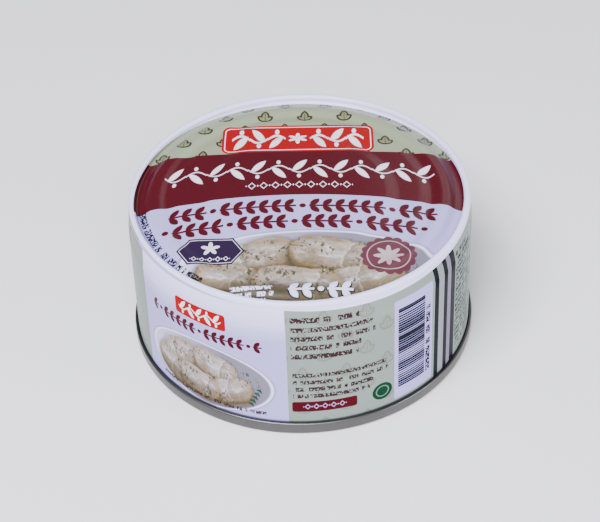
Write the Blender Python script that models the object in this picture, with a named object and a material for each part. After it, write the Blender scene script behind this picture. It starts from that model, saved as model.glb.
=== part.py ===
"""A shut two-piece round tin can: a drawn body whose own ringed lid panel sits inside a
rounded rim, and a plain steel end seamed onto it, on which the can stands.

Lengths are in metres, +Z is up, and the can stands on the plane z = 0 with its axis on Z.
"""

from math import cos, hypot, pi, radians, sin

import bmesh
import bpy

# Driving sizes of the whole can
HEIGHT = 0.0470
SEGMENTS = 96
GAP = 0.0003

# Wall of the drawn body, a little wider at the seamed end
WALL_RADIUS_LOW = 0.0498
WALL_RADIUS_HIGH = 0.0493
SHOULDER_DROP = 0.0075
SHOULDER_STEPS = 5

# Rounded rim round the top
RIM_RADIUS = 0.0487
RIM_ROUNDING = 0.0010
RIM_BASE_DROP = 0.0025
RIM_ARC_STEPS = 6

# Groove inside the rim, and the lid panel: each depth is below the top of the rim
GROOVE_RADIUS = 0.0461
GROOVE_ROUNDING = 0.0007
GROOVE_DEPTH = 0.0023
GROOVE_ARC_STEPS = 4
PANEL_RINGS = (
    # radius, depth: the panel's height runs smoothly from one to the next
    (0.0454, 0.00220),
    (0.0421, 0.00095),
    (0.0407, 0.00090),
    (0.0376, 0.00140),
    (0.0345, 0.00105),
    (0.0285, 0.00105),
    (0.0245, 0.00055),
)
PANEL_STEPS = 4

# Double seam at the bottom
SEAM_RADIUS = 0.0508
SEAM_HEIGHT = 0.0039
SEAM_TOP_ROUNDING = 0.0005
SEAM_LOW_ROUNDING = 0.0008
SEAM_ARC_STEPS = 4
FOOT_INNER_RADIUS = 0.0492
CHUCK_WALL_LOW = (0.0487, 0.0005)
CHUCK_WALL_HIGH = (0.0480, 0.0029)

# Underside of the end: each height is above the surface that the can stands on
END_RINGS = (
    (0.0472, 0.0034),
    (0.0460, 0.0026),
    (0.0415, 0.0026),
    (0.0385, 0.0031),
    (0.0355, 0.0026),
    (0.0300, 0.0026),
    (0.0275, 0.0022),
)
END_STEPS = 3

# Colours, as linear values
PRINTED_LACQUER = (0.55, 0.58, 0.52, 1.0)
PLAIN_STEEL = (0.42, 0.42, 0.44, 1.0)


def clear_scene():
    for thing in list(bpy.data.objects):
        bpy.data.objects.remove(thing, do_unlink=True)


def arc(centre_radius, centre_height, rounding, start_deg, end_deg, steps):
    """Points on a rounded edge of a turned profile, first and last included."""
    points = []
    for step in range(steps + 1):
        angle = radians(start_deg + (end_deg - start_deg) * step / steps)
        points.append((centre_radius + rounding * cos(angle), centre_height + rounding * sin(angle)))
    return points


def smooth_run(start, end, steps):
    """Points after start up to end, level at both ends like a pressed step in sheet metal."""
    points = []
    for step in range(1, steps + 1):
        part = step / steps
        rise = part * part * (3.0 - 2.0 * part)
        radius = start[0] + (end[0] - start[0]) * part
        points.append((radius, start[1] + (end[1] - start[1]) * rise))
    return points


def ringed_panel(rings, steps):
    """Points through a pressed panel's rings, from the first to the last; level runs get no points."""
    points = [rings[0]]
    for start, end in zip(rings, rings[1:]):
        level = start[1] == end[1]
        points += smooth_run(start, end, 1 if level else steps)
    return points


def body_profile():
    """The drawn body as (radius, height), from the middle of its foot up and over to the middle of the lid."""
    foot = SEAM_HEIGHT + GAP
    shoulder = (WALL_RADIUS_HIGH, HEIGHT - SHOULDER_DROP)
    rim_base = (RIM_RADIUS, HEIGHT - RIM_BASE_DROP)
    rim_middle = RIM_RADIUS - RIM_ROUNDING
    groove_middle = HEIGHT - GROOVE_DEPTH + GROOVE_ROUNDING
    points = [(0.0, foot), (WALL_RADIUS_LOW, foot), shoulder]
    points += smooth_run(shoulder, rim_base, SHOULDER_STEPS)
    points += arc(rim_middle, HEIGHT - RIM_ROUNDING, RIM_ROUNDING, 0.0, 170.0, 2 * RIM_ARC_STEPS)
    points += arc(GROOVE_RADIUS, groove_middle, GROOVE_ROUNDING, 0.0, -110.0, GROOVE_ARC_STEPS)
    heights = [(radius, HEIGHT - depth) for radius, depth in PANEL_RINGS]
    points += ringed_panel(heights, PANEL_STEPS)
    points.append((0.0, HEIGHT - PANEL_RINGS[-1][1]))
    return points


def end_profile():
    """The seamed end as (radius, height), from the middle of its underside out and over to its top face."""
    low_middle = SEAM_RADIUS - SEAM_LOW_ROUNDING
    top_middle = SEAM_RADIUS - SEAM_TOP_ROUNDING
    points = [(0.0, END_RINGS[-1][1])]
    points += list(reversed(ringed_panel(END_RINGS, END_STEPS)))
    points += [CHUCK_WALL_HIGH, CHUCK_WALL_LOW, (FOOT_INNER_RADIUS, 0.0)]
    points += arc(low_middle, SEAM_LOW_ROUNDING, SEAM_LOW_ROUNDING, -90.0, 0.0, SEAM_ARC_STEPS)
    points += arc(top_middle, SEAM_HEIGHT - SEAM_TOP_ROUNDING, SEAM_TOP_ROUNDING, 0.0, 90.0, SEAM_ARC_STEPS)
    points.append((0.0, SEAM_HEIGHT))
    return points


def turned_solid(name, profile, material):
    """A closed solid made by turning a profile once round the Z axis."""
    mesh = bpy.data.meshes.new(name)
    build = bmesh.new()
    vertices = [build.verts.new((radius, 0.0, height)) for radius, height in profile]
    edges = [build.edges.new(pair) for pair in zip(vertices, vertices[1:])]
    bmesh.ops.spin(
        build,
        geom=vertices + edges,
        cent=(0.0, 0.0, 0.0),
        axis=(0.0, 0.0, 1.0),
        angle=2.0 * pi,
        steps=SEGMENTS,
        use_merge=True,
    )
    on_axis = [v for v in build.verts if hypot(v.co.x, v.co.y) < GAP / 10.0]
    bmesh.ops.remove_doubles(build, verts=on_axis, dist=GAP / 10.0)
    bmesh.ops.recalc_face_normals(build, faces=build.faces)
    build.to_mesh(mesh)
    build.free()
    mesh.shade_smooth()
    mesh.set_sharp_from_angle(angle=radians(40.0))
    mesh.materials.append(material)
    solid = bpy.data.objects.new(name, mesh)
    bpy.context.scene.collection.objects.link(solid)
    return solid


def principled(name, colour, roughness, metallic):
    material = bpy.data.materials.new(name)
    material.use_nodes = True
    shader = material.node_tree.nodes["Principled BSDF"]
    shader.inputs["Base Color"].default_value = colour
    shader.inputs["Roughness"].default_value = roughness
    shader.inputs["Metallic"].default_value = metallic
    material.diffuse_color = colour
    return material


def main():
    clear_scene()
    lacquer = principled("printed lacquer", PRINTED_LACQUER, 0.25, 0.0)
    steel = principled("plain steel", PLAIN_STEEL, 0.35, 1.0)
    turned_solid("can_body", body_profile(), lacquer)
    turned_solid("seamed_end", end_profile(), steel)


main()
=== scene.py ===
"""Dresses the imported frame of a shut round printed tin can.

The drawn body is a thin lacquered sheet in two pieces, the lid and the wall, and a plain steel
end is seamed on below. The print is drawn by shader nodes in millimetres on the flat sheet.
"""

from math import atan2, cos, hypot, pi, radians, sin

import bpy
from bpy.props import FloatProperty, FloatVectorProperty, IntProperty, PointerProperty
from mathutils import Matrix, Vector


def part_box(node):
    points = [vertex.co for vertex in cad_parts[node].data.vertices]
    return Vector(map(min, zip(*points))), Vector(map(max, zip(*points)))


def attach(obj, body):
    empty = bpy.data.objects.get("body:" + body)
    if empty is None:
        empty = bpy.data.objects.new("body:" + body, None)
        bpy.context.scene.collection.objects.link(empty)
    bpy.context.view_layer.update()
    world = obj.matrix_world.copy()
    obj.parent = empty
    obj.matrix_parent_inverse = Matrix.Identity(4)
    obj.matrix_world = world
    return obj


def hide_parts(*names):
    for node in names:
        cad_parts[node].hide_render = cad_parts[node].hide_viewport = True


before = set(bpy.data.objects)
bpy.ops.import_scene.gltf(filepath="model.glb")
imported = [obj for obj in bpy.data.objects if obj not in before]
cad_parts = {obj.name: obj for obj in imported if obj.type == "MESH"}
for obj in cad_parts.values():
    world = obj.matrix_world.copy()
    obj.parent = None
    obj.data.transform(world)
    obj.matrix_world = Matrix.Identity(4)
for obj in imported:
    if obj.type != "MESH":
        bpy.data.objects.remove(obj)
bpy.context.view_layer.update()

bl_info = {
    "name": "Printed Tin Can",
    "version": (1, 0, 0),
    "blender": (4, 5, 0),
    "location": "View3D > Sidebar > Tin Can",
    "description": "Builds a shut round printed tin can and its studio",
    "category": "Object",
}

MM = 0.001
CAN_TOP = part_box("can_body")[1][2]
SEAM_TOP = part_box("seamed_end")[1][2]

# Drawn body: the same profile as the frame's, in metres, with finer steps
RIM_RADIUS = 0.0487
RIM_ROUNDING = 0.0010
RIM_SPLIT_DROP = 0.00175
RIM_BASE_DROP = 0.0025
WALL_RADIUS_HIGH = 0.0493
WALL_RADIUS_LOW = 0.0498
SHOULDER_DROP = 0.0075
GROOVE_RADIUS = 0.0461
GROOVE_ROUNDING = 0.0007
GROOVE_DEPTH = 0.0023
PANEL_RINGS = (
    # radius, depth below the top of the rim
    (0.0454, 0.00220),
    (0.0421, 0.00095),
    (0.0407, 0.00090),
    (0.0376, 0.00140),
    (0.0345, 0.00105),
    (0.0285, 0.00105),
    (0.0245, 0.00055),
)
PANEL_MIDDLE_RADII = (0.018, 0.012, 0.006, 0.0015)
RIM_ARC_END = 170.0
RIM_ARC_STEPS = 20
GROOVE_ARC_END = -110.0
GROOVE_ARC_STEPS = 9
PANEL_STEPS = 7
SHOULDER_STEPS = 9
WALL_STEPS = 12

# Seamed end, in metres
SEAM_RADIUS = 0.0508
SEAM_TOP_ROUNDING = 0.0005
SEAM_LOW_ROUNDING = 0.0008
CREVICE_OUTER = (0.0500, 0.0033)
CREVICE_INNER_RADIUS = 0.0494
WALL_FOOT = 0.0034
FOOT_INNER_RADIUS = 0.0492
CHUCK_WALL = ((0.0487, 0.0005), (0.0480, 0.0029))
END_RINGS = (
    # radius, height above the surface that the can stands on
    (0.0472, 0.0034),
    (0.0460, 0.0026),
    (0.0415, 0.0026),
    (0.0385, 0.0031),
    (0.0355, 0.0026),
    (0.0300, 0.0026),
    (0.0275, 0.0022),
)
END_STEPS = 6
SEAM_ARC_END = 150.0
SEAM_ARC_STEPS = 8

# The print, in millimetres on the flat sheet
WALL_PRINT_RADIUS = 49.5
FACING = pi * WALL_PRINT_RADIUS
INK_EDGE = 0.16
LID_PRINT_TURN = radians(1.6)
SPLIT_HEIGHT = (CAN_TOP - RIM_SPLIT_DROP) / MM
LID_BLANK_RADIUS = 52.07
BAR_STEP = 0.84
COARSE_BAR_STEP = 2.52
# The dish: half width and half height of its plate, and its rolls
PLATE_HALF = (37.0, 16.0)
ROLLS = (
    # x, y, lean in degrees, half length, half width: the back row and then the front row
    (-15.0, 4.4, 20.0, 12.4, 6.9),
    (6.5, 5.0, -14.0, 12.6, 7.0),
    (-21.0, -4.4, -24.0, 10.8, 6.5),
    (15.0, -4.8, 16.0, 11.6, 6.6),
    (-3.5, -6.2, -8.0, 12.6, 7.0),
)
FIELD_REACH = 80.0
WALL_FIELDS = (
    # where a field of colour begins along the wall's arc, its paint
    (-80.0, "mist"),
    (-54.5, "white"),
    (-5.2, "mist"),
    (40.6, "ink"),
    (42.4, "sand"),
    (44.7, "ink"),
    (46.5, "plate"),
    (48.7, "ink"),
    (50.7, "mist"),
)

# Fixed tints of the print, and of a painted shadow above the seam, as linear values
SPRIG_FILL, SPRIG_LINE = (0.17, 0.18, 0.095), (0.030, 0.022, 0.012)
WALL_SPRIG_FILL, WALL_SPRIG_LINE = (0.20, 0.19, 0.14), (0.05, 0.045, 0.03)
PALE_INK, WALL_PALE_INK = (0.84, 0.80, 0.94), (0.86, 0.84, 0.94)
BADGE_INK, SEAL_INK = (0.74, 0.72, 0.86), (0.60, 0.52, 0.56)
SMALL_PRINT = (0.035, 0.014, 0.018)
# SEAM_SHADOW is not print: it is painted shadow from the crevice above the seam
SEAM_SHADOW = (0.022, 0.024, 0.030)
WARM_LEAF, GOLDEN_LEAF = (0.17, 0.130, 0.068), (0.33, 0.225, 0.085)
VEIN, CREASE, GLINT = (0.55, 0.53, 0.56), (0.11, 0.085, 0.05), (0.60, 0.58, 0.68)
WRAP_SHADE, WRAP_EDGE = (0.14, 0.105, 0.055), (0.62, 0.60, 0.62)
ROLL_RIM, ROLL_SHADOW = (0.075, 0.054, 0.026), (0.070, 0.050, 0.026)
DISH_DUSK, HERB_FLECK = (0.050, 0.036, 0.020), (0.040, 0.046, 0.022)

# Finish: the coat's share of the gloss, and the height of the metal's streaks in millimetres
COAT_SHARE = 0.5
COAT_ROUGHNESS = 0.06
STREAK_HEIGHT = 0.004

# Places on the bake's map, from 0 to 1: strips of the wall's print, and the linings
BAKE_STRIPS = 3
LINING_STRIP = 0.6
STRIP_FILL = 0.97
BAKE_MARGIN = 0.003
LID_BAKE_HALF = 0.495
LID_LINING_SCALE, LID_LINING_CORNER = 0.15, (0.005, 0.005)
WALL_LINING_SCALE, WALL_LINING_CORNER = 0.16, (0.01, 0.004)

# The studio, in metres and watts
LIGHTS = (
    # name, place, width and height, power, tint
    ("upper left", (-0.31, -0.42, 0.89), (0.5, 0.5), 20.3, (0.96, 0.96, 1.0)),
    ("front", (0.05, -0.88, 0.76), (0.6, 0.45), 10.3, (0.97, 0.965, 1.0)),
    ("back right", (0.42, 0.80, 0.68), (0.6, 0.5), 1.4, (0.96, 0.96, 1.0)),
    ("low right", (0.90, -0.42, 0.17), (0.5, 0.2), 7.5, (0.97, 0.965, 1.0)),
)
LIGHT_TARGET = Vector((0.0, 0.0, 0.03))
ROOM_TINT = (0.95, 0.96, 1.0, 1.0)
FLOOR_SIZE = 4.0
FLOOR_ROUGHNESS = 0.6
FLOOR_SPECK = (0.7, 0.7, 0.72)
CAMERA_TARGET = Vector((0.0, 0.0, 0.020))
CAMERA_SHIFT = (-0.0028, 0.0012)
SENSOR_WIDTH = 36.0
CLIP_START = 0.01


# Sizes and colours that a user would change


def paint(red, green, blue):
    """Linear values of a colour given as 0 to 255 screen values."""
    values = [part / 255.0 for part in (red, green, blue)]
    return tuple(v / 12.92 if v <= 0.04045 else ((v + 0.055) / 1.055) ** 2.4 for v in values)


def colour(label, description, red, green, blue):
    return FloatVectorProperty(
        name=label, description=description, subtype="COLOR", size=3, min=0.0, max=1.0,
        default=paint(red, green, blue),
    )


def angle_setting(label, description, degrees):
    return FloatProperty(
        name=label, description=description, default=radians(degrees), subtype="ANGLE"
    )


def fraction(label, description, value):
    return FloatProperty(name=label, description=description, default=value, min=0.0, max=1.0)


class CanSizes(bpy.types.PropertyGroup):
    segments: IntProperty(
        name="Segments", description="Facets round the can", default=256, min=96, max=512
    )
    sheet: FloatProperty(
        name="Sheet", description="Thickness of the sheet metal", default=0.0002, unit="LENGTH"
    )
    facet_angle: angle_setting("Smooth angle", "Edges that turn less are shaded smooth", 32.0)


class PrintColours(bpy.types.PropertyGroup):
    # rim_white is the same white lacquer as white, painted brighter to stand in for the highlights
    # on the rim; the print's bright white marks use it too
    rim_white: colour("Rim white", "White lacquer of the rim", 217, 215, 255)
    white: colour("White", "White fields of the print", 167, 161, 217)
    sage: colour("Lid sage", "Ground of the lid", 135, 145, 121)
    mist: colour("Wall sage", "Ground of the wall", 126, 138, 132)
    maroon: colour("Maroon", "Band and bold rows", 70, 6, 19)
    red: colour("Red", "Small plaques", 148, 0, 8)
    purple: colour("Purple", "Badge", 37, 21, 52)
    seal: colour("Seal", "Scalloped seal", 88, 46, 57)
    cream: colour("Cream", "Lid's rolls in the light", 164, 153, 146)
    ochre: colour("Ochre", "Lid's rolls in the shade", 110, 86, 57)
    pale_cream: colour("Pale cream", "Wall's rolls in the light", 172, 162, 166)
    pale_ochre: colour("Pale ochre", "Wall's rolls in the shade", 130, 112, 96)
    plate: colour("Plate", "Dish under the rolls", 119, 115, 132)
    herb: colour("Herb", "Green sprigs and the disc", 3, 55, 32)
    ink: colour("Ink", "Dark stripes and small print", 8, 12, 21)
    sand: colour("Sand", "Pale stripe", 132, 135, 140)


class CanFinish(bpy.types.PropertyGroup):
    steel: colour("Steel", "Plain tin-plate", 99, 98, 98)
    lining: colour("Lining", "Inner face of the sheet", 196, 186, 160)
    lacquer_roughness: fraction("Lacquer roughness", "Roughness of the print", 0.30)
    lid_gloss: fraction("Lid gloss", "Strength of the lid's gloss", 0.26)
    wall_gloss: fraction("Wall gloss", "Strength of the wall's gloss", 0.03)
    steel_roughness: fraction("Steel roughness", "Roughness of the bare steel", 0.34)


class StudioSettings(bpy.types.PropertyGroup):
    elevation: angle_setting("Elevation", "Camera's height angle", 40.5)
    distance: FloatProperty(
        name="Distance", description="Camera to the middle of the can", default=0.455, unit="LENGTH"
    )
    lens: FloatProperty(name="Lens", description="Focal length in millimetres", default=92.2)
    tilt: angle_setting("Tilt", "Turn of the camera about its view", -2.01)
    room_light: FloatProperty(
        name="Room light", description="Strength of the even light", default=0.29
    )
    floor: colour("Floor", "Plain pale floor", 238, 238, 240)


# Node fields: a value that varies over the surface, and the nodes that combine such values


class Field:
    """A socket's value over the surface. Sums, products and the like lay Math nodes."""

    def __init__(self, socket):
        self.socket = socket

    def __add__(self, other):
        return lay("ADD", self, other)

    __radd__ = __add__

    def __sub__(self, other):
        return lay("SUBTRACT", self, other)

    def __rsub__(self, other):
        return lay("SUBTRACT", other, self)

    def __mul__(self, other):
        return lay("MULTIPLY", self, other)

    __rmul__ = __mul__

    def __truediv__(self, other):
        return lay("DIVIDE", self, other)

    def __abs__(self):
        return lay("ABSOLUTE", self)


def feed(tree, socket, value):
    if isinstance(value, Field):
        tree.links.new(value.socket, socket)
    elif socket.type == "RGBA" and len(value) == 3:
        socket.default_value = (*value, 1.0)
    else:
        socket.default_value = value


def tree_of(values):
    return next(value.socket.id_data for value in values if isinstance(value, Field))


def laid(kind, *values, **settings):
    """A node with its settings made and its first inputs fed: its outputs."""
    tree = tree_of(values)
    node = tree.nodes.new("ShaderNode" + kind)
    for name, setting in settings.items():
        setattr(node, name, setting)
    for socket, value in zip(node.inputs, values):
        feed(tree, socket, value)
    return [Field(socket) for socket in node.outputs]


def lay(operation, *values, clamp=False):
    """A Math node's value."""
    return laid("Math", *values, operation=operation, use_clamp=clamp)[0]


def linear(value, factor, start):
    return lay("MULTIPLY_ADD", value, factor, start)


def ramp(value, factor, start):
    """A linear value kept between 0 and 1."""
    return lay("MULTIPLY_ADD", value, factor, start, clamp=True)


def high(value, *others):
    for other in others:
        value = lay("MAXIMUM", value, other)
    return value


def low(value, *others):
    for other in others:
        value = lay("MINIMUM", value, other)
    return value


def joined(x, y, z=0.0):
    return laid("CombineXYZ", x, y, z)[0]


def parts(vector):
    """X, Y and Z of a vector field."""
    return laid("SeparateXYZ", vector)


def span(x, y):
    """Length of the line to (x, y)."""
    _, length = laid("VectorMath", joined(x, y), operation="LENGTH")
    return length


def within(distance, softness=INK_EDGE):
    """1 inside a shape and 0 outside it, from the distance to its edge."""
    return ramp(distance, -1.0 / softness, 0.5)


def turned(x, y, degrees):
    """The same place in axes turned to the left by so many degrees."""
    c, s = cos(radians(degrees)), sin(radians(degrees))
    return linear(x, c, y * s), linear(y, c, x * -s)


def in_cell(value, width):
    """A place as measured from the middle of its cell, and the cell's number."""
    number = lay("ROUND", value / width)
    return linear(number, width * -1.0, value), number


def odd(number):
    """1 in every other cell, else 0."""
    return lay("FLOORED_MODULO", number, 2.0)


def rounded_edge(x, y, half_width, half_height, rounding):
    """Distance outside a rounded rectangle."""
    across = high(abs(x) - (half_width - rounding), 0.0)
    up = high(abs(y) - (half_height - rounding), 0.0)
    return span(across, up) - rounding


def leaf_edge(along, across, half_length, half_width):
    """Distance outside a pointed leaf, between two arcs."""
    bow = (half_length**2 + half_width**2) / (2.0 * half_width)
    return span(along, abs(across) + (bow - half_width)) - bow


def flower_edge(x, y, petals, swing, radius):
    """Distance outside a flower, measured towards its middle."""
    return span(x, y) - (lay("COSINE", lay("ARCTAN2", x, y) * petals) * swing + radius)


def ink(mask, below, above):
    """One colour laid over another where the mask is 1."""
    tree = tree_of((mask, below, above))
    node = tree.nodes.new("ShaderNodeMix")
    node.data_type = "RGBA"
    factor, first, second = node.inputs[0], node.inputs[6], node.inputs[7]
    for socket, value in ((factor, mask), (first, below), (second, above)):
        feed(tree, socket, value)
    return Field(node.outputs[2])


def layered(below, *layers):
    """A colour with others laid over it in turn, each with its mask."""
    for mask, above in layers:
        below = ink(mask, below, above)
    return below


def cloud(place, scale, detail=2.0, roughness=0.5):
    """Noise from 0 to 1 over a place. The node's second input, W, has no use in three axes."""
    return laid("TexNoise", place, 0.0, scale, detail, roughness)[0]


def chance(place):
    """A random value from 0 to 1 that is the same all over one cell."""
    return laid("TexWhiteNoise", place, noise_dimensions="2D")[0]


FLOAT, COLOUR, VECTOR = "NodeSocketFloat", "NodeSocketColor", "NodeSocketVector"
BLACK = (0.0, 0.0, 0.0, 1.0)
ORIGIN = (0.0, 0.0, 0.0)


def make_group(name, inputs, outputs, draw):
    """A shader node group: draw takes its input fields and gives its output fields."""
    tree = bpy.data.node_groups.new(name, "ShaderNodeTree")
    for label, default in inputs.items():
        kind = {BLACK: COLOUR, ORIGIN: VECTOR}.get(default, FLOAT)
        socket = tree.interface.new_socket(label, in_out="INPUT", socket_type=kind)
        socket.default_value = default
    for label, kind in outputs.items():
        tree.interface.new_socket(label, in_out="OUTPUT", socket_type=kind)
    source = tree.nodes.new("NodeGroupInput")
    results = draw(*[Field(socket) for socket in source.outputs[: len(inputs)]])
    sink = tree.nodes.new("NodeGroupOutput")
    for socket, result in zip(sink.inputs, results if isinstance(results, tuple) else [results]):
        feed(tree, socket, result)


def motif(name, **values):
    """A node that holds a group, fed with values named as its sockets are, with _ for a space."""
    tree = tree_of(values.values())
    node = tree.nodes.new("ShaderNodeGroup")
    node.node_tree = bpy.data.node_groups[name]
    for label, value in values.items():
        feed(tree, node.inputs[label.replace("_", " ")], value)
    fields = [Field(socket) for socket in node.outputs]
    return fields if len(fields) > 1 else fields[0]


# Node groups: motifs of the print that the lid and the wall share, and the finishes


def draw_sprig_field(x, y):
    """Three-leaved sprigs in a staggered lattice: their fill and their outline."""
    up, row = in_cell(y, 6.5)
    across, _ = in_cell(x + odd(row) * 6.0, 12.0)
    middle = leaf_edge(up - 0.4, across, 2.2, 1.1)
    side_along, side_across = turned(abs(across) - 0.2, up + 1.3, 42.0)
    side = leaf_edge(side_along - 1.0, side_across, 1.5, 0.8)
    edge = low(middle, side)
    vein = high(abs(across) - 0.12, abs(up - 0.2) - 1.5)
    return within(edge, 0.3), within(low(abs(edge) - 0.31, vein), 0.22)


def draw_leaf_garland(x, y, cell, height, slim, half_length):
    """A waved stem with leaves above and below it by turns, and a berry across from each leaf.

    slim takes that share of a cell off every edge.
    """
    local, number = in_cell(x, cell)
    side = linear(odd(number), -2.0, 1.0)
    along, up = local / cell, (y * side) / height
    leaf = leaf_edge(*turned(along, up - 0.17, 38.0), 0.50, 0.170)
    stem = abs(up + lay("COSINE", along * pi) * 0.20 - 0.02) - 0.052
    berry = span(along + 0.02, up + 0.36) - 0.118
    return within(low(leaf, berry, stem) + slim, 0.04) * within(abs(x) - half_length)


def draw_lozenge_row(x, y, cell, height, slim, half_length):
    """A chain of hollow lozenges with a small one at each joint; slim as in the garland."""
    local, _ = in_cell(x, cell)
    along, up = abs(local) / cell, abs(y) / height
    lozenge = abs(along + up - 0.30) - 0.065
    joint = (0.5 - along) * 1.3 + up - 0.12
    return within(low(lozenge, joint) + slim, 0.05) * within(abs(x) - half_length)


def draw_twig_row(x, y, cell, height, group, half_length):
    """Laurel twigs of paired leaves in a row, and a berry between one twig and the next."""
    local, number = in_cell(x, cell)
    along, up = local / height, abs(y) / height
    leaf = leaf_edge(*turned(along + 0.03, up - 0.26, 50.0), 0.33, 0.175)
    berry = span(along, up) - 0.16
    gap = lay("COMPARE", lay("FLOORED_MODULO", number, group), 0.0, 0.5)
    edge = low(leaf, up - 0.07) * (1.0 - gap) + berry * gap
    return within(edge, 0.04) * within(abs(x) - half_length)


def draw_word_lines(x, y, step, height, unit, half_length, half_block):
    """Uneven strokes in rows with ragged ends, too fine to read."""
    up, row = in_cell(y, step)
    luck = chance(joined(row, 3.5))
    number = lay("FLOOR", x / unit + luck * 5.0)
    filled = lay("LESS_THAN", chance(joined(number, row)), 0.86)
    strokes = ramp(cloud(joined(x * 2.1, y * 1.3, row * 7.3), 1.0, 1.0), 9.0, -3.5)
    bold = linear(lay("GREATER_THAN", luck, 0.45), 0.5, 1.1)
    ragged = high(x * -1.0, x + luck * half_length * 0.7) - half_length
    inside = within(high(ragged, abs(y) - half_block))
    marks = within(abs(up) - height * 0.5, 0.25) * filled * strokes * inside
    return lay("MULTIPLY", marks, bold, clamp=True)


def draw_roll(x, y, seed, half_length, half_width, cream, ochre):
    """One stuffed leaf roll, lit from above: its mask and its colour."""
    folds = cloud(joined(x * 0.15, y * 0.34, seed), 1.0, 4.0, 0.62)
    crinkle = cloud(joined(x * 0.50, y * 0.80, seed + 5.0), 1.0, 2.0, 0.55)
    waver = (folds - 0.5) * 3.4 + (crinkle - 0.5) * 0.9
    body = span(high(abs(x) - (half_length - half_width), 0.0), y) - half_width + waver
    depth = body / half_width * -1.0
    up = y / half_width
    lit = linear(up, 0.48, depth * 0.80) + folds * 3.1
    low_side = ramp(up, -0.62, 0.52)
    warm = ramp(cloud(joined(x, y, seed + 9.0), 0.13, 1.0), 4.0, -1.55)
    rib = abs(up - 0.18 + (folds - 0.5) * 2.4)
    side, _ = in_cell(x + rib * 3.4 + (crinkle - 0.5) * 3.0, 3.1)
    veins = high(within(abs(side) - 0.10, 0.55) * 0.6, within(rib - 0.05, 0.13))
    glint = ramp(lit + crinkle * 0.9, 1.9, -5.25)
    golden = ramp(depth, -2.6, 1.15) * high(ramp(x, 0.09, 0.25), low_side)
    shift = lay("FLOORED_MODULO", seed, 5.0) * 1.7
    wrap = x - shift + 3.6 - up * up * 2.6 + (crinkle - 0.5) * 2.4
    under = ramp(wrap, -0.24, 1.0) * within(wrap * -1.0, 0.5)
    return within(body, 0.45), layered(
        ink(ramp(lit, 1.0, -1.42), ochre, cream),
        (warm * low_side, WARM_LEAF),
        (veins * 0.38, VEIN),
        (within(abs(crinkle - 0.42) - 0.006, 0.045) * 0.34, CREASE),
        (glint * 0.8, GLINT),
        (golden * 0.42, GOLDEN_LEAF),
        (under * 0.62, WRAP_SHADE),
        (within(abs(wrap + 0.35) - 0.16, 0.45) * 0.5, WRAP_EDGE),
        (ramp(depth + up * 0.30, -4.2, 0.66) * 0.8, ROLL_RIM),
    )


def draw_dish(x, y, shade, below, white, plate, cream, ochre, herb):
    """An oval plate with two rows of stuffed rolls and a few flecks of herb."""
    oval = span(x / PLATE_HALF[0], y / PLATE_HALF[1])
    picture = layered(
        below,
        (within(oval - 1.0, 0.05), plate),
        (within(oval - 0.985, 0.02), white),
        (within(oval - 0.945, 0.03) * ramp(x, 0.014, 0.85), plate),
    )
    for number, (place_x, place_y, lean, half_length, half_width) in enumerate(ROLLS):
        along, across = turned(x - place_x, y - place_y, lean)
        beyond = high(abs(along) - (half_length - half_width), 0.0)
        shadow = span(beyond, across + 0.8) - half_width
        mask, skin = motif(
            "stuffed roll",
            X=along, Y=across, Seed=3.7 * number, Half_Length=half_length, Half_Width=half_width,
            Cream=cream, Ochre=ochre,
        )
        picture = layered(
            picture, (within(shadow - 0.9, 2.4) * shade, ROLL_SHADOW), (mask, skin)
        )
    front = ramp(y + cloud(joined(x, y, 2.0), 0.14, 2.0) * 6.0, -0.26, -0.16)
    dusk = front * shade * within(oval - 0.93, 0.06) * ramp(x, -0.018, 0.74)
    patch = ramp(cloud(joined(x, y, 8.0), 0.16, 1.0), 5.0, -1.9)
    flecks = within(0.59 - cloud(joined(x * 1.25, y * 0.8, 4.0), 0.85, 1.0, 0.5), 0.04) * patch
    leaf_x, leaf_y = turned(x - 27.5, y + 4.5, 60.0)
    local, _ = in_cell(leaf_x, 2.2)
    slant_x, slant_y = turned(local, abs(leaf_y), -48.0)
    frond = low(leaf_edge(slant_x + 1.0, slant_y, 1.9, 0.5), abs(leaf_y) - 0.14)
    return layered(
        picture,
        (dusk, DISH_DUSK),
        (flecks * within(oval - 0.8, 0.1) * 0.9, HERB_FLECK),
        (within(frond) * within(abs(leaf_x) - 5.5) * 0.9, herb),
    )


def draw_lacquer(place, waves, peel, roughness):
    """A lacquered sheet: roughness, and height in millimetres, of slow waves and fine peel."""
    height = cloud(place, 0.07, 1.0) * waves + cloud(place, 1.3, 2.0) * peel
    return ramp(cloud(place, 0.35, 4.0, 0.65) - 0.5, 0.16, roughness), height


def draw_tin(place, roughness, metal):
    """Rolled tin-plate: a faint streak and mottle in its colour, roughness and height."""
    x, y, z = parts(place)
    turn = lay("ARCTAN2", y, x)
    streak = cloud(joined(span(x, y) * 3.0, z * 3.0, turn * 1.4), 1.6, 4.0, 0.6)
    tone = linear(streak, 0.55, cloud(place, 0.16, 3.0, 0.6) * 0.45)
    shade = ink(ramp(tone, 1.6, -0.45), ink(0.25, metal, BLACK), metal)
    return shade, ramp(streak - 0.5, 0.30, roughness), streak


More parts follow.
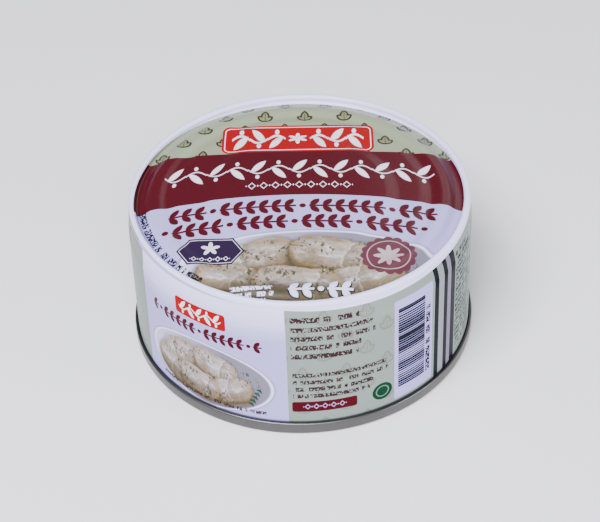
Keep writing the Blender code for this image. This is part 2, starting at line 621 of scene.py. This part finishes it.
def make_motifs():
    """The node groups that the printed and the plain materials share."""
    place, mask = {"X": 0.0, "Y": 0.0}, {"Mask": FLOAT}
    row = {**place, "Cell": 3.0, "Height": 4.0}
    end = {"Half Length": 30.0}
    make_group("sprig field", place, {"Fill": FLOAT, "Line": FLOAT}, draw_sprig_field)
    make_group("leaf garland", {**row, "Slim": 0.0, **end}, mask, draw_leaf_garland)
    make_group("lozenge row", {**row, "Slim": 0.0, **end}, mask, draw_lozenge_row)
    make_group("twig row", {**row, "Group": 7.0, **end}, mask, draw_twig_row)
    lines = {"Step": 3.0, "Height": 1.5, "Unit": 1.5, **end, "Half Block": 1.0}
    make_group("word lines", {**place, **lines}, mask, draw_word_lines)
    leaf = {"Cream": BLACK, "Ochre": BLACK}
    roll = {**place, "Seed": 0.0, "Half Length": 9.0, "Half Width": 5.0, **leaf}
    make_group("stuffed roll", roll, {**mask, "Colour": COLOUR}, draw_roll)
    dish = {"Shade": 0.9, "Below": BLACK, "White": BLACK, "Plate": BLACK, **leaf, "Herb": BLACK}
    make_group("dish of rolls", {**place, **dish}, {"Colour": COLOUR}, draw_dish)
    make_group(
        "lacquered sheet",
        {"Place": ORIGIN, "Waves": 0.05, "Peel": 0.001, "Roughness": 0.3},
        {"Roughness": FLOAT, "Height": FLOAT},
        draw_lacquer,
    )
    make_group(
        "tin-plate",
        {"Place": ORIGIN, "Roughness": 0.35, "Metal": BLACK},
        {"Colour": COLOUR, "Roughness": FLOAT, "Height": FLOAT},
        draw_tin,
    )


# The two printed designs and the materials


def small_print(x, y, step, height, unit, half_length, half_block):
    """Lines of small print round the place (x, y): see draw_word_lines."""
    return motif(
        "word lines",
        X=x, Y=y, Step=step, Height=height, Unit=unit, Half_Length=half_length,
        Half_Block=half_block,
    )


def lid_print(x, y, paints):
    """The lid's print in millimetres on its flat sheet, x to the right and y to the back."""
    square = x * x
    low_edge = linear(square, -0.0032, -1.5)
    top_edge = linear(square * square, -9.4e-7, 19.2)
    # Sage ground with sprigs, and the white zone under the band, with the dish
    fill, outline = motif("sprig field", X=x + 4.6, Y=y - 5.0)
    design = layered(
        paints.sage,
        (fill * 0.85, SPRIG_FILL),
        (outline, SPRIG_LINE),
        (within(y - low_edge), paints.white),
    )
    design = motif(
        "dish of rolls",
        X=x - 3.0, Y=y + 33.4, Shade=1.0, Below=design, White=paints.rim_white,
        Plate=paints.plate, Cream=paints.cream, Ochre=paints.ochre, Herb=paints.herb,
    )
    # Maroon band with its garland and border
    arched = y + square * 0.0022
    garland = motif(
        "leaf garland",
        X=x, Y=arched - 10.7, Cell=6.0, Height=9.2, Slim=0.026, Half_Length=39.0,
    )
    border = motif(
        "lozenge row",
        X=x, Y=arched - 3.2, Cell=3.4, Height=4.6, Slim=0.024, Half_Length=15.3,
    )
    design = layered(
        design,
        (within(high(y - top_edge, low_edge - y)), paints.maroon),
        (high(garland, border) * 0.95, PALE_INK),
    )
    # Red plaque with a keyline, a flower and a garland on each side of it
    plaque_x, plaque_y = x + 0.6, y - 26.0
    plaque = rounded_edge(plaque_x, plaque_y, 22.6, 6.9, 2.6)
    spray = motif(
        "leaf garland",
        X=abs(plaque_x) - 11.6, Y=plaque_y, Cell=5.3, Height=10.2, Half_Length=7.95,
    )
    flower = within(flower_edge(plaque_x, plaque_y, 6.0, 0.8, 2.2))
    marks = high(spray, flower, within(abs(plaque + 0.9) - 0.14))
    design = layered(design, (within(plaque), paints.red), (marks * 0.95, PALE_INK))
    # Bold rows of twigs
    arched = y + square * 0.0031
    row = {"Cell": 3.6, "Height": 6.0, "Half_Length": 37.8}
    first = motif("twig row", X=x - 1.0, Y=arched + 6.5, Group=7.0, **row)
    second = motif("twig row", X=x + 1.2, Y=arched + 13.4, Group=5.0, **row)
    design = ink(high(first, second), design, paints.maroon)
    # Purple badge with a flower, a border and a keyline
    badge_x, badge_y = x + 24.2, y + 25.4
    badge = high(abs(badge_y) - 5.4, abs(badge_x) + abs(badge_y) * 0.6 - 9.4)
    flower = within(flower_edge(badge_x, badge_y - 1.2, 5.0, 0.8, 1.9))
    border = motif(
        "lozenge row", X=badge_x, Y=badge_y + 3.1, Cell=2.2, Height=2.6, Half_Length=5.5
    )
    marks = high(flower, border, within(abs(badge + 0.7) - 0.10))
    design = layered(design, (within(badge), paints.purple), (marks * 0.9, BADGE_INK))
    # Scalloped seal with a rosette in a ring
    seal_x, seal_y = x - 24.5, y + 28.2
    reach = span(seal_x, seal_y)
    scallops = abs(lay("COSINE", lay("ARCTAN2", seal_x, seal_y) * 8.0)) * 0.7 + 7.1
    rosette = within(flower_edge(seal_x, seal_y, 8.0, 1.0, 3.2))
    marks = high(rosette, within(abs(reach - 5.9) - 0.14))
    design = layered(design, (within(reach - scallops), paints.seal), (marks * 0.6, SEAL_INK))
    # Pale twig with a dark edge, and small lines to its left
    for shift, shade in ((0.35, paints.ink), (-0.35, paints.ink), (0.0, paints.rim_white)):
        twig = motif(
            "twig row",
            X=x - 6.0 + shift, Y=y + 41.6 + abs(shift), Cell=3.5, Height=5.2, Group=3.0,
            Half_Length=8.7,
        )
        design = ink(twig, design, shade)
    lines = small_print(x + 12.4, y + 42.8, 2.0, 1.25, 0.8, 6.0, 3.0)
    # Small print that follows the edge at the front left
    reach, turn = span(x, y), lay("ARCTAN2", x, y * -1.0)
    curved = small_print(turn * 52.0 + 52.5, reach - 45.2, 2.8, 2.1, 0.9, 21.0, 1.2)
    # White band round the edge, and the wall's fields coming up over the rim
    edge = low(linear(y, -0.048, 48.6) - x * 0.008, 49.3)
    height = reach * -1.0 + (LID_BLANK_RADIUS + SPLIT_HEIGHT)
    around = lay("WRAP", turn * WALL_PRINT_RADIUS, FACING / 2.0, -FACING / 2.0)
    return layered(
        design,
        (lines, paints.rim_white),
        (curved, paints.ink),
        (within(edge - reach), paints.rim_white),
        (within(height - band_edge(around)), wall_fields(around, height, paints)),
    )


def band_edge(arc):
    """Height of the white band's lower edge round the can."""
    swing = lay("COSINE", (arc - 22.0) * (2.0 * pi / FACING)) * -1.35
    return low(swing + 45.35, 46.7)


def wall_fields(arc, z, paints):
    """Upright fields of colour round the wall, which lean at the shoulder."""
    bend = high(z - 39.0, 0.0)
    leaning = linear(bend * bend, 0.035, arc)
    shade, _ = laid("ValToRGB", linear(leaning, 0.5 / FIELD_REACH, 0.5))
    stops = shade.socket.node.color_ramp
    stops.interpolation = "CONSTANT"
    while len(stops.elements) < len(WALL_FIELDS):
        stops.elements.new(1.0)
    for stop, (place, name) in zip(stops.elements, WALL_FIELDS):
        stop.position = (place + FIELD_REACH) / (2.0 * FIELD_REACH)
        stop.color = (*getattr(paints, name), 1.0)
    return shade


def wall_print(full_arc, z, paints):
    """The wall's print in millimetres, arc from the front and z up; the back repeats the front."""
    arc = lay("WRAP", full_arc, FACING / 2.0, -FACING / 2.0)
    # Fields of colour, a painted sheen that lightens the white panel towards the shoulder, and the
    # sprigs on sage
    painted_sheen = ramp(z, 1.0 / 9.0, -33.5 / 9.0) * within(abs(arc + 29.9) - 24.7)
    fill, outline = motif("sprig field", X=arc + 60.8, Y=z - 9.0)
    ground = high(within(66.0 - abs(arc)), within(abs(arc - 10.2) - 15.2) * 0.35)
    design = layered(
        wall_fields(arc, z, paints),
        # painted sheen: the white panel lightened near the shoulder as if catching light
        (painted_sheen * 0.9, paints.rim_white),
        (fill * ground * 0.45, WALL_SPRIG_FILL),
        (outline * ground * 0.85, WALL_SPRIG_LINE),
    )
    # Dish picture, kept to the white panel
    picture = motif(
        "dish of rolls",
        X=(arc + 30.0) * 1.72, Y=(z - 15.6) * 1.36, Shade=0.5, Below=design,
        White=paints.rim_white, Plate=paints.plate, Cream=paints.pale_cream,
        Ochre=paints.pale_ochre, Herb=paints.herb,
    )
    panel = within(rounded_edge(arc + 30.0, z - 15.5, 24.0, 13.0, 0.5))
    # Small plaque, and the row of twigs under it
    plaque_x, plaque_y = arc + 30.2, z - 37.1
    spray = motif("leaf garland", X=plaque_x, Y=plaque_y, Cell=2.8, Height=4.8, Half_Length=7.0)
    twigs = motif(
        "twig row",
        X=arc + 30.4, Y=z - 31.0, Cell=2.5, Height=3.9, Group=6.0, Half_Length=18.75,
    )
    # Small print: two blocks on sage, one under the dish, one beside the bars, one past the stripes
    blocks = (
        # x, y, step, height, unit, half length, half block
        (arc - 8.2, z - 35.0, 3.2, 1.7, 1.0, 12.0, 8.0),
        (arc - 10.4, z - 19.0, 2.6, 1.45, 0.9, 14.0, 6.5),
        (arc + 28.5, z - 6.4, 9.0, 1.25, 0.8, 18.0, 1.0),
        (z - 21.5, arc - 37.8, 6.0, 1.7, 1.0, 12.5, 1.0),
        (arc - 59.2, z - 24.6, 1.9, 1.3, 0.8, 7.4, 18.05),
    )
    upper, lower, under, column, fine = [small_print(*block) for block in blocks]
    # Maroon bar and green disc
    bar_x, bar_y = arc - 5.1, z - 9.8
    tiny = motif("lozenge row", X=bar_x, Y=bar_y, Cell=2.4, Height=2.8, Half_Length=6.0)
    disc = span(arc - 21.8, z - 10.2)
    # Level bars, fine and coarse
    local, number = in_cell(z, BAR_STEP)
    bars = within(abs(local) - 0.15 - chance(joined(number, 7.5)) * 0.28, 0.05)
    local, number = in_cell(z, COARSE_BAR_STEP)
    bars = high(bars, within(abs(local) + 0.22 - chance(joined(number, 4.5)) * 0.78, 0.06))
    bars = bars * within(rounded_edge(arc - 31.7, z - 23.5, 4.8, 14.5, 0.1))
    # All of it in turn, then a painted shadow along the wall's foot where the seam's crevice shades
    # it, and the white band under the rim
    return layered(
        design,
        (panel, picture),
        (within(rounded_edge(plaque_x, plaque_y, 8.4, 2.85, 0.9)), paints.red),
        (spray * 0.95, WALL_PALE_INK),
        (twigs, paints.maroon),
        (high(upper, lower * within(z - 22.9), under), SMALL_PRINT),
        (within(rounded_edge(bar_x, bar_y, 9.1, 1.9, 0.7)), paints.maroon),
        (tiny * 0.85, paints.white),
        (within(disc - 3.1), paints.herb),
        (within(abs(disc - 1.9) - 0.16) * 0.8, paints.mist),
        (within(rounded_edge(arc - 32.6, z - 23.0, 7.0, 18.0, 0.6)), paints.white),
        (high(bars, column), paints.ink),
        (fine, paints.ink),
        # painted shadow of the crevice above the seam
        (within(z - 4.3, 0.4) * 0.85, SEAM_SHADOW),
        (within(band_edge(arc) - z), paints.rim_white),
    )


def new_material(name, view_colour):
    material = bpy.data.materials.new(name)
    material.use_nodes = True
    material.diffuse_color = (*view_colour, 1.0)
    shader = material.node_tree.nodes["Principled BSDF"]
    return material, material.node_tree, shader


def object_millimetres(tree):
    metres = Field(tree.nodes.new("ShaderNodeTexCoord").outputs["Object"])
    return laid("VectorMath", metres, (1.0 / MM,) * 3, operation="MULTIPLY")[0]


def add_bump(tree, shader, height):
    """Height in millimetres, as a normal."""
    node = tree.nodes.new("ShaderNodeBump")
    node.inputs["Distance"].default_value = MM
    feed(tree, node.inputs["Height"], height)
    feed(tree, shader.inputs["Normal"], Field(node.outputs[0]))


def lacquered(name, print_of, finish, gloss):
    """A printed and lacquered sheet. print_of lays the print's nodes and gives its colour."""
    material, tree, shader = new_material(name, (0.6, 0.6, 0.55))
    feed(tree, shader.inputs["Base Color"], print_of(tree))
    rough, height = motif(
        "lacquered sheet",
        Place=object_millimetres(tree), Waves=0.10, Peel=0.0012,
        Roughness=finish.lacquer_roughness,
    )
    feed(tree, shader.inputs["Roughness"], rough)
    add_bump(tree, shader, height)
    shader.inputs["Specular IOR Level"].default_value = gloss
    shader.inputs["Coat Weight"].default_value = gloss * COAT_SHARE
    shader.inputs["Coat Roughness"].default_value = COAT_ROUGHNESS
    return material


def lid_lacquer(paints, finish):
    def print_of(tree):
        node = tree.nodes.new("ShaderNodeUVMap")
        node.uv_map = "print"
        x, y, _ = parts(Field(node.outputs[0]))
        return lid_print(x, y, paints)

    return lacquered("printed lid lacquer", print_of, finish, finish.lid_gloss)


def wall_lacquer(paints, finish):
    def print_of(tree):
        x, y, z = parts(object_millimetres(tree))
        arc = lay("ARCTAN2", x, y * -1.0) * WALL_PRINT_RADIUS
        return wall_print(arc, z, paints)

    return lacquered("printed wall lacquer", print_of, finish, finish.wall_gloss)


def tin(name, metal, roughness):
    """Bare or lined tin-plate."""
    _, tree, shader = new_material(name, metal)
    place = object_millimetres(tree)
    shade, rough, height = motif("tin-plate", Place=place, Roughness=roughness, Metal=metal)
    feed(tree, shader.inputs["Base Color"], shade)
    feed(tree, shader.inputs["Roughness"], rough)
    add_bump(tree, shader, height * STREAK_HEIGHT)
    shader.inputs["Metallic"].default_value = 1.0


# Turned profiles


def arc_points(centre, rounding, start_deg, end_deg, steps):
    """Points on a rounded edge of a turned profile, first and last included."""
    points = []
    for step in range(steps + 1):
        angle = radians(start_deg + (end_deg - start_deg) * step / steps)
        points.append((centre[0] + rounding * cos(angle), centre[1] + rounding * sin(angle)))
    return points


def smooth_run(start, end, steps):
    """Points after start up to end, level at both ends like a pressed step in sheet metal."""
    points = []
    for step in range(1, steps + 1):
        share = step / steps
        rise = share * share * (3.0 - 2.0 * share)
        radius = start[0] + (end[0] - start[0]) * share
        points.append((radius, start[1] + (end[1] - start[1]) * rise))
    return points


def through(rings, steps):
    """Points through a pressed panel's rings, from the first to the last."""
    points = [rings[0]]
    for start, end in zip(rings, rings[1:]):
        points += smooth_run(start, end, steps)
    return points


def lid_profile():
    """From the split in the rim's outer side over the rim and the groove to the lid's middle."""
    rim = (RIM_RADIUS - RIM_ROUNDING, CAN_TOP - RIM_ROUNDING)
    groove = (GROOVE_RADIUS, CAN_TOP - GROOVE_DEPTH + GROOVE_ROUNDING)
    points = [(RIM_RADIUS, CAN_TOP - RIM_SPLIT_DROP)]
    points += arc_points(rim, RIM_ROUNDING, 0.0, RIM_ARC_END, RIM_ARC_STEPS)
    points += arc_points(groove, GROOVE_ROUNDING, 0.0, GROOVE_ARC_END, GROOVE_ARC_STEPS)
    points += through([(radius, CAN_TOP - depth) for radius, depth in PANEL_RINGS], PANEL_STEPS)
    return points + [(radius, points[-1][1]) for radius in PANEL_MIDDLE_RADII]


def wall_profile():
    """From the wall's foot behind the seam up the wall and the shoulder to the rim's split."""
    shoulder = (WALL_RADIUS_HIGH, CAN_TOP - SHOULDER_DROP)
    foot = (WALL_RADIUS_LOW, WALL_FOOT)
    points = [foot]
    for step in range(1, WALL_STEPS + 1):
        share = step / WALL_STEPS
        points.append(tuple(a + (b - a) * share for a, b in zip(foot, shoulder)))
    points += smooth_run(shoulder, (RIM_RADIUS, CAN_TOP - RIM_BASE_DROP), SHOULDER_STEPS)
    points.append((RIM_RADIUS, CAN_TOP - RIM_SPLIT_DROP))
    return points


def end_profile():
    """From the underside's middle ring out over the foot and the seam to the hidden top face."""
    foot = (SEAM_RADIUS - SEAM_LOW_ROUNDING, SEAM_LOW_ROUNDING)
    top = (SEAM_RADIUS - SEAM_TOP_ROUNDING, SEAM_TOP - SEAM_TOP_ROUNDING)
    points = through(END_RINGS, END_STEPS)[::-1]
    points += [*CHUCK_WALL[::-1], (FOOT_INNER_RADIUS, 0.0)]
    points += arc_points(foot, SEAM_LOW_ROUNDING, -90.0, 0.0, SEAM_ARC_STEPS)
    points += arc_points(top, SEAM_TOP_ROUNDING, 0.0, SEAM_ARC_END, SEAM_ARC_STEPS)
    points += [CREVICE_OUTER, (CREVICE_INNER_RADIUS, CREVICE_OUTER[1])]
    points += [(CREVICE_INNER_RADIUS, SEAM_TOP), (CREVICE_INNER_RADIUS / 2.0, SEAM_TOP)]
    return points


# Modelling


def deselect():
    if bpy.context.mode != "OBJECT":
        bpy.ops.object.mode_set(mode="OBJECT")
    bpy.ops.object.select_all(action="DESELECT")


def turn_sheet(name, profile, segments, filled=False):
    """A circle at the profile's first point, drawn out ring by ring through the others."""
    deselect()
    radius, height = profile[0]
    bpy.ops.mesh.primitive_circle_add(
        vertices=segments, radius=radius, location=(0.0, 0.0, height), calc_uvs=False,
        fill_type="TRIFAN" if filled else "NOTHING",
    )
    piece = bpy.context.active_object
    piece.name = piece.data.name = name
    bpy.ops.object.transform_apply(location=True, rotation=True, scale=True)
    bpy.ops.object.mode_set(mode="EDIT")
    bpy.ops.mesh.select_mode(type="EDGE")
    bpy.ops.mesh.select_all(action="SELECT")
    if filled:
        bpy.ops.mesh.region_to_loop()
    for (radius, height), (next_radius, next_height) in zip(profile, profile[1:]):
        rise = (0.0, 0.0, next_height - height)
        bpy.ops.mesh.extrude_region_move(TRANSFORM_OT_translate={"value": rise})
        factor = next_radius / radius
        bpy.ops.transform.resize(value=(factor, factor, 1.0), center_override=(0.0, 0.0, 0.0))
    return piece


def close_middle():
    """Draws the last ring in to a point on the axis."""
    bpy.ops.mesh.extrude_region_move(TRANSFORM_OT_translate={"value": (0.0, 0.0, 0.0)})
    bpy.ops.mesh.merge(type="CENTER")


def face_outwards(piece, outward):
    """Makes the normals agree, and turns them if the first face's goes against outward."""
    bpy.ops.mesh.select_all(action="SELECT")
    bpy.ops.mesh.normals_make_consistent(inside=False)
    bpy.ops.object.mode_set(mode="OBJECT")
    face = piece.data.polygons[0]
    if face.normal.dot(outward(face.center)) < 0.0:
        bpy.ops.object.mode_set(mode="EDIT")
        bpy.ops.mesh.select_all(action="SELECT")
        bpy.ops.mesh.flip_normals()
        bpy.ops.object.mode_set(mode="OBJECT")


def lay_map(piece, name, place_of):
    """A UV map: place_of takes a corner's vertex and its face's middle and gives its place."""
    mesh = piece.data
    layer = mesh.uv_layers.new(name=name)
    for face in mesh.polygons:
        middle = face.center
        for loop in face.loop_indices:
            vertex = mesh.vertices[mesh.loops[loop].vertex_index]
            layer.uv[loop].vector = place_of(vertex, middle)


def finish_sheet(piece, sizes, scale, corner):
    """Gives a printed sheet its thickness inwards and shades it smooth.

    The inner faces take the lining and a free place on the bake's map.
    """
    piece.data.materials.append(bpy.data.materials["lined tin-plate"])
    modifier = piece.modifiers.new("sheet", "SOLIDIFY")
    modifier.thickness = sizes.sheet
    modifier.offset = -1.0
    modifier.use_even_offset = True
    modifier.material_offset = 1
    modifier.material_offset_rim = 1
    bpy.ops.object.modifier_apply(modifier=modifier.name)
    layer = piece.data.uv_layers["OFBake"]
    for face in piece.data.polygons:
        if face.material_index == 1:
            for loop in face.loop_indices:
                x, y = layer.uv[loop].vector
                layer.uv[loop].vector = (x * scale + corner[0], y * scale + corner[1])
    smooth(piece, sizes.facet_angle)


def smooth(piece, angle):
    deselect()
    piece.select_set(True)
    bpy.context.view_layer.objects.active = piece
    bpy.ops.object.shade_smooth_by_angle(angle=angle)


def sheet_lengths(profile):
    """Length of the sheet from the axis to each point of a profile that ends near the axis."""
    lengths = [profile[-1][0]]
    for (r0, z0), (r1, z1) in zip(profile[::-1], profile[-2::-1]):
        lengths.append(lengths[-1] + hypot(r1 - r0, z1 - z0))
    return lengths[::-1]


def from_axis(middle):
    """The way straight out from the can's axis."""
    return Vector((middle.x, middle.y, 0.0))


class MESH_OT_printed_lid(bpy.types.Operator):
    """Lid panel, groove and rounded rim of the drawn body"""

    bl_idname = "mesh.printed_lid"
    bl_label = "Printed Lid"

    def execute(self, context):
        scene = context.scene
        profile = lid_profile()
        lengths = sheet_lengths(profile)
        piece = turn_sheet("printed_lid", profile, scene.can_sizes.segments)
        close_middle()
        face_outwards(piece, from_axis)

        def blank(point):
            """Place on the flat sheet, in metres, of a point on the pressed one."""
            radius = hypot(point.x, point.y)
            if radius < profile[-1][0] * 0.5:
                return 0.0, 0.0
            gaps = [hypot(r - radius, z - point.z) for r, z in profile]
            length = lengths[gaps.index(min(gaps))]
            return point.x * length / radius, point.y * length / radius

        places = [blank(vertex.co) for vertex in piece.data.vertices]

        def bake_place(vertex, _):
            return [0.5 + LID_BAKE_HALF * part / lengths[0] for part in places[vertex.index]]

        def print_place(vertex, _):
            x, y = places[vertex.index]
            c, s = cos(LID_PRINT_TURN), sin(LID_PRINT_TURN)
            return (x * c - y * s) / MM, (x * s + y * c) / MM

        lay_map(piece, "OFBake", bake_place)
        lay_map(piece, "print", print_place)
        bake = piece.data.uv_layers["OFBake"]
        piece.data.uv_layers.active = bake
        bake.active_render = True
        piece.data.materials.append(lid_lacquer(scene.can_print, scene.can_finish))
        finish_sheet(piece, scene.can_sizes, LID_LINING_SCALE, LID_LINING_CORNER)
        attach(piece, "root")
        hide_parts("can_body")
        return {"FINISHED"}


class MESH_OT_printed_wall(bpy.types.Operator):
    """Wall and shoulder of the drawn body"""

    bl_idname = "mesh.printed_wall"
    bl_label = "Printed Wall"

    def execute(self, context):
        scene = context.scene
        piece = turn_sheet("printed_wall", wall_profile(), scene.can_sizes.segments)
        face_outwards(piece, from_axis)
        strip = 2.0 * pi / BAKE_STRIPS
        strip_height = 1.0 / (BAKE_STRIPS + LINING_STRIP)
        scale = strip_height * STRIP_FILL / (CAN_TOP - RIM_SPLIT_DROP - WALL_FOOT)

        def bake_place(vertex, middle):
            """Place on the bake's map, where the wall lies in strips one above the other."""
            point = vertex.co
            towards = atan2(middle.x, -middle.y) + pi
            number = min(int(towards / strip), BAKE_STRIPS - 1)
            own = atan2(point.x, -point.y) + pi
            own += 2.0 * pi * round((towards - own) / (2.0 * pi))
            along = (own - number * strip) * WALL_PRINT_RADIUS * MM
            up = number * strip_height + (point.z - WALL_FOOT) * scale
            return BAKE_MARGIN + along * scale, up + BAKE_MARGIN

        lay_map(piece, "OFBake", bake_place)
        piece.data.materials.append(wall_lacquer(scene.can_print, scene.can_finish))
        x, y = WALL_LINING_CORNER
        corner = (x, BAKE_STRIPS * strip_height + y)
        finish_sheet(piece, scene.can_sizes, WALL_LINING_SCALE, corner)
        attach(piece, "root")
        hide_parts("can_body")
        return {"FINISHED"}


class MESH_OT_seamed_end(bpy.types.Operator):
    """Plain steel end with its double seam and ringed underside"""

    bl_idname = "mesh.seamed_end"
    bl_label = "Seamed End"

    def execute(self, context):
        sizes = context.scene.can_sizes
        piece = turn_sheet("steel_end", end_profile(), sizes.segments, filled=True)
        close_middle()
        face_outwards(piece, lambda middle: Vector((0.0, 0.0, -1.0)))
        piece.data.materials.append(bpy.data.materials["plain tin-plate"])
        smooth(piece, sizes.facet_angle)
        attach(piece, "root")
        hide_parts("seamed_end")
        return {"FINISHED"}


class MATERIAL_OT_can_finishes(bpy.types.Operator):
    """Shared node groups and the plain metal finishes"""

    bl_idname = "material.can_finishes"
    bl_label = "Finishes"

    def execute(self, context):
        finish = context.scene.can_finish
        make_motifs()
        tin("plain tin-plate", finish.steel, finish.steel_roughness)
        tin("lined tin-plate", finish.lining, finish.steel_roughness)
        return {"FINISHED"}


# Stage


def soft_light(name, place, size, power, tint):
    bpy.ops.object.light_add(type="AREA", location=place)
    lamp = bpy.context.active_object
    lamp.name = lamp.data.name = name
    lamp.data.shape = "RECTANGLE"
    lamp.data.size, lamp.data.size_y = size
    lamp.data.energy = power
    lamp.data.color = tint
    lamp.rotation_euler = (LIGHT_TARGET - Vector(place)).to_track_quat("-Z", "Y").to_euler()


class SCENE_OT_can_studio(bpy.types.Operator):
    """Pale floor, soft light and the camera"""

    bl_idname = "scene.can_studio"
    bl_label = "Studio"

    def execute(self, context):
        scene = context.scene
        studio = scene.can_studio
        deselect()
        bpy.ops.mesh.primitive_plane_add(size=FLOOR_SIZE, location=(0.0, 0.0, 0.0))
        floor = context.active_object
        floor.name = floor.data.name = "floor"
        material, tree, shader = new_material("pale floor", studio.floor)
        speck = cloud(object_millimetres(tree), 0.02, 3.0)
        shade = ink(speck * 0.04, studio.floor, FLOOR_SPECK)
        feed(tree, shader.inputs["Base Color"], shade)
        shader.inputs["Roughness"].default_value = FLOOR_ROUGHNESS
        floor.data.materials.append(material)

        world = bpy.data.worlds.new("studio room")
        world.use_nodes = True
        background = world.node_tree.nodes["Background"]
        background.inputs["Color"].default_value = ROOM_TINT
        background.inputs["Strength"].default_value = studio.room_light
        scene.world = world
        for light in LIGHTS:
            soft_light(*light)

        back = Vector((0.0, -cos(studio.elevation), sin(studio.elevation)))
        bpy.ops.object.camera_add(location=CAMERA_TARGET + back * studio.distance)
        camera = context.active_object
        camera.name = camera.data.name = "can camera"
        look = (-back).to_track_quat("-Z", "Y").to_matrix()
        camera.rotation_euler = (look @ Matrix.Rotation(studio.tilt, 3, "Z")).to_euler()
        camera.data.sensor_width = SENSOR_WIDTH
        camera.data.lens = studio.lens
        camera.data.shift_x, camera.data.shift_y = CAMERA_SHIFT
        camera.data.clip_start = CLIP_START
        scene.camera = camera
        return {"FINISHED"}


class VIEW3D_PT_tin_can(bpy.types.Panel):
    """Sizes, colours and the steps that build the can"""

    bl_label = "Tin Can"
    bl_space_type = "VIEW_3D"
    bl_region_type = "UI"
    bl_category = "Tin Can"

    def draw(self, context):
        scene = context.scene
        for group in (scene.can_sizes, scene.can_print, scene.can_finish, scene.can_studio):
            box = self.layout.box()
            for name in group.bl_rna.properties.keys():
                if name not in ("rna_type", "name"):
                    box.prop(group, name)
        for step in STEPS:
            self.layout.operator(step.bl_idname)


STEPS = (
    MATERIAL_OT_can_finishes,
    MESH_OT_printed_lid,
    MESH_OT_printed_wall,
    MESH_OT_seamed_end,
    SCENE_OT_can_studio,
)
GROUPS = {
    "can_sizes": CanSizes,
    "can_print": PrintColours,
    "can_finish": CanFinish,
    "can_studio": StudioSettings,
}


def register():
    for made in (*GROUPS.values(), *STEPS, VIEW3D_PT_tin_can):
        bpy.utils.register_class(made)
    for name, group in GROUPS.items():
        setattr(bpy.types.Scene, name, PointerProperty(type=group))


def unregister():
    for name in GROUPS:
        delattr(bpy.types.Scene, name)
    for made in (VIEW3D_PT_tin_can, *reversed(STEPS), *reversed(GROUPS.values())):
        bpy.utils.unregister_class(made)


def main():
    register()
    bpy.ops.material.can_finishes()
    bpy.ops.mesh.printed_lid()
    bpy.ops.mesh.printed_wall()
    bpy.ops.mesh.seamed_end()
    bpy.ops.scene.can_studio()


if __name__ == "__main__":
    main()
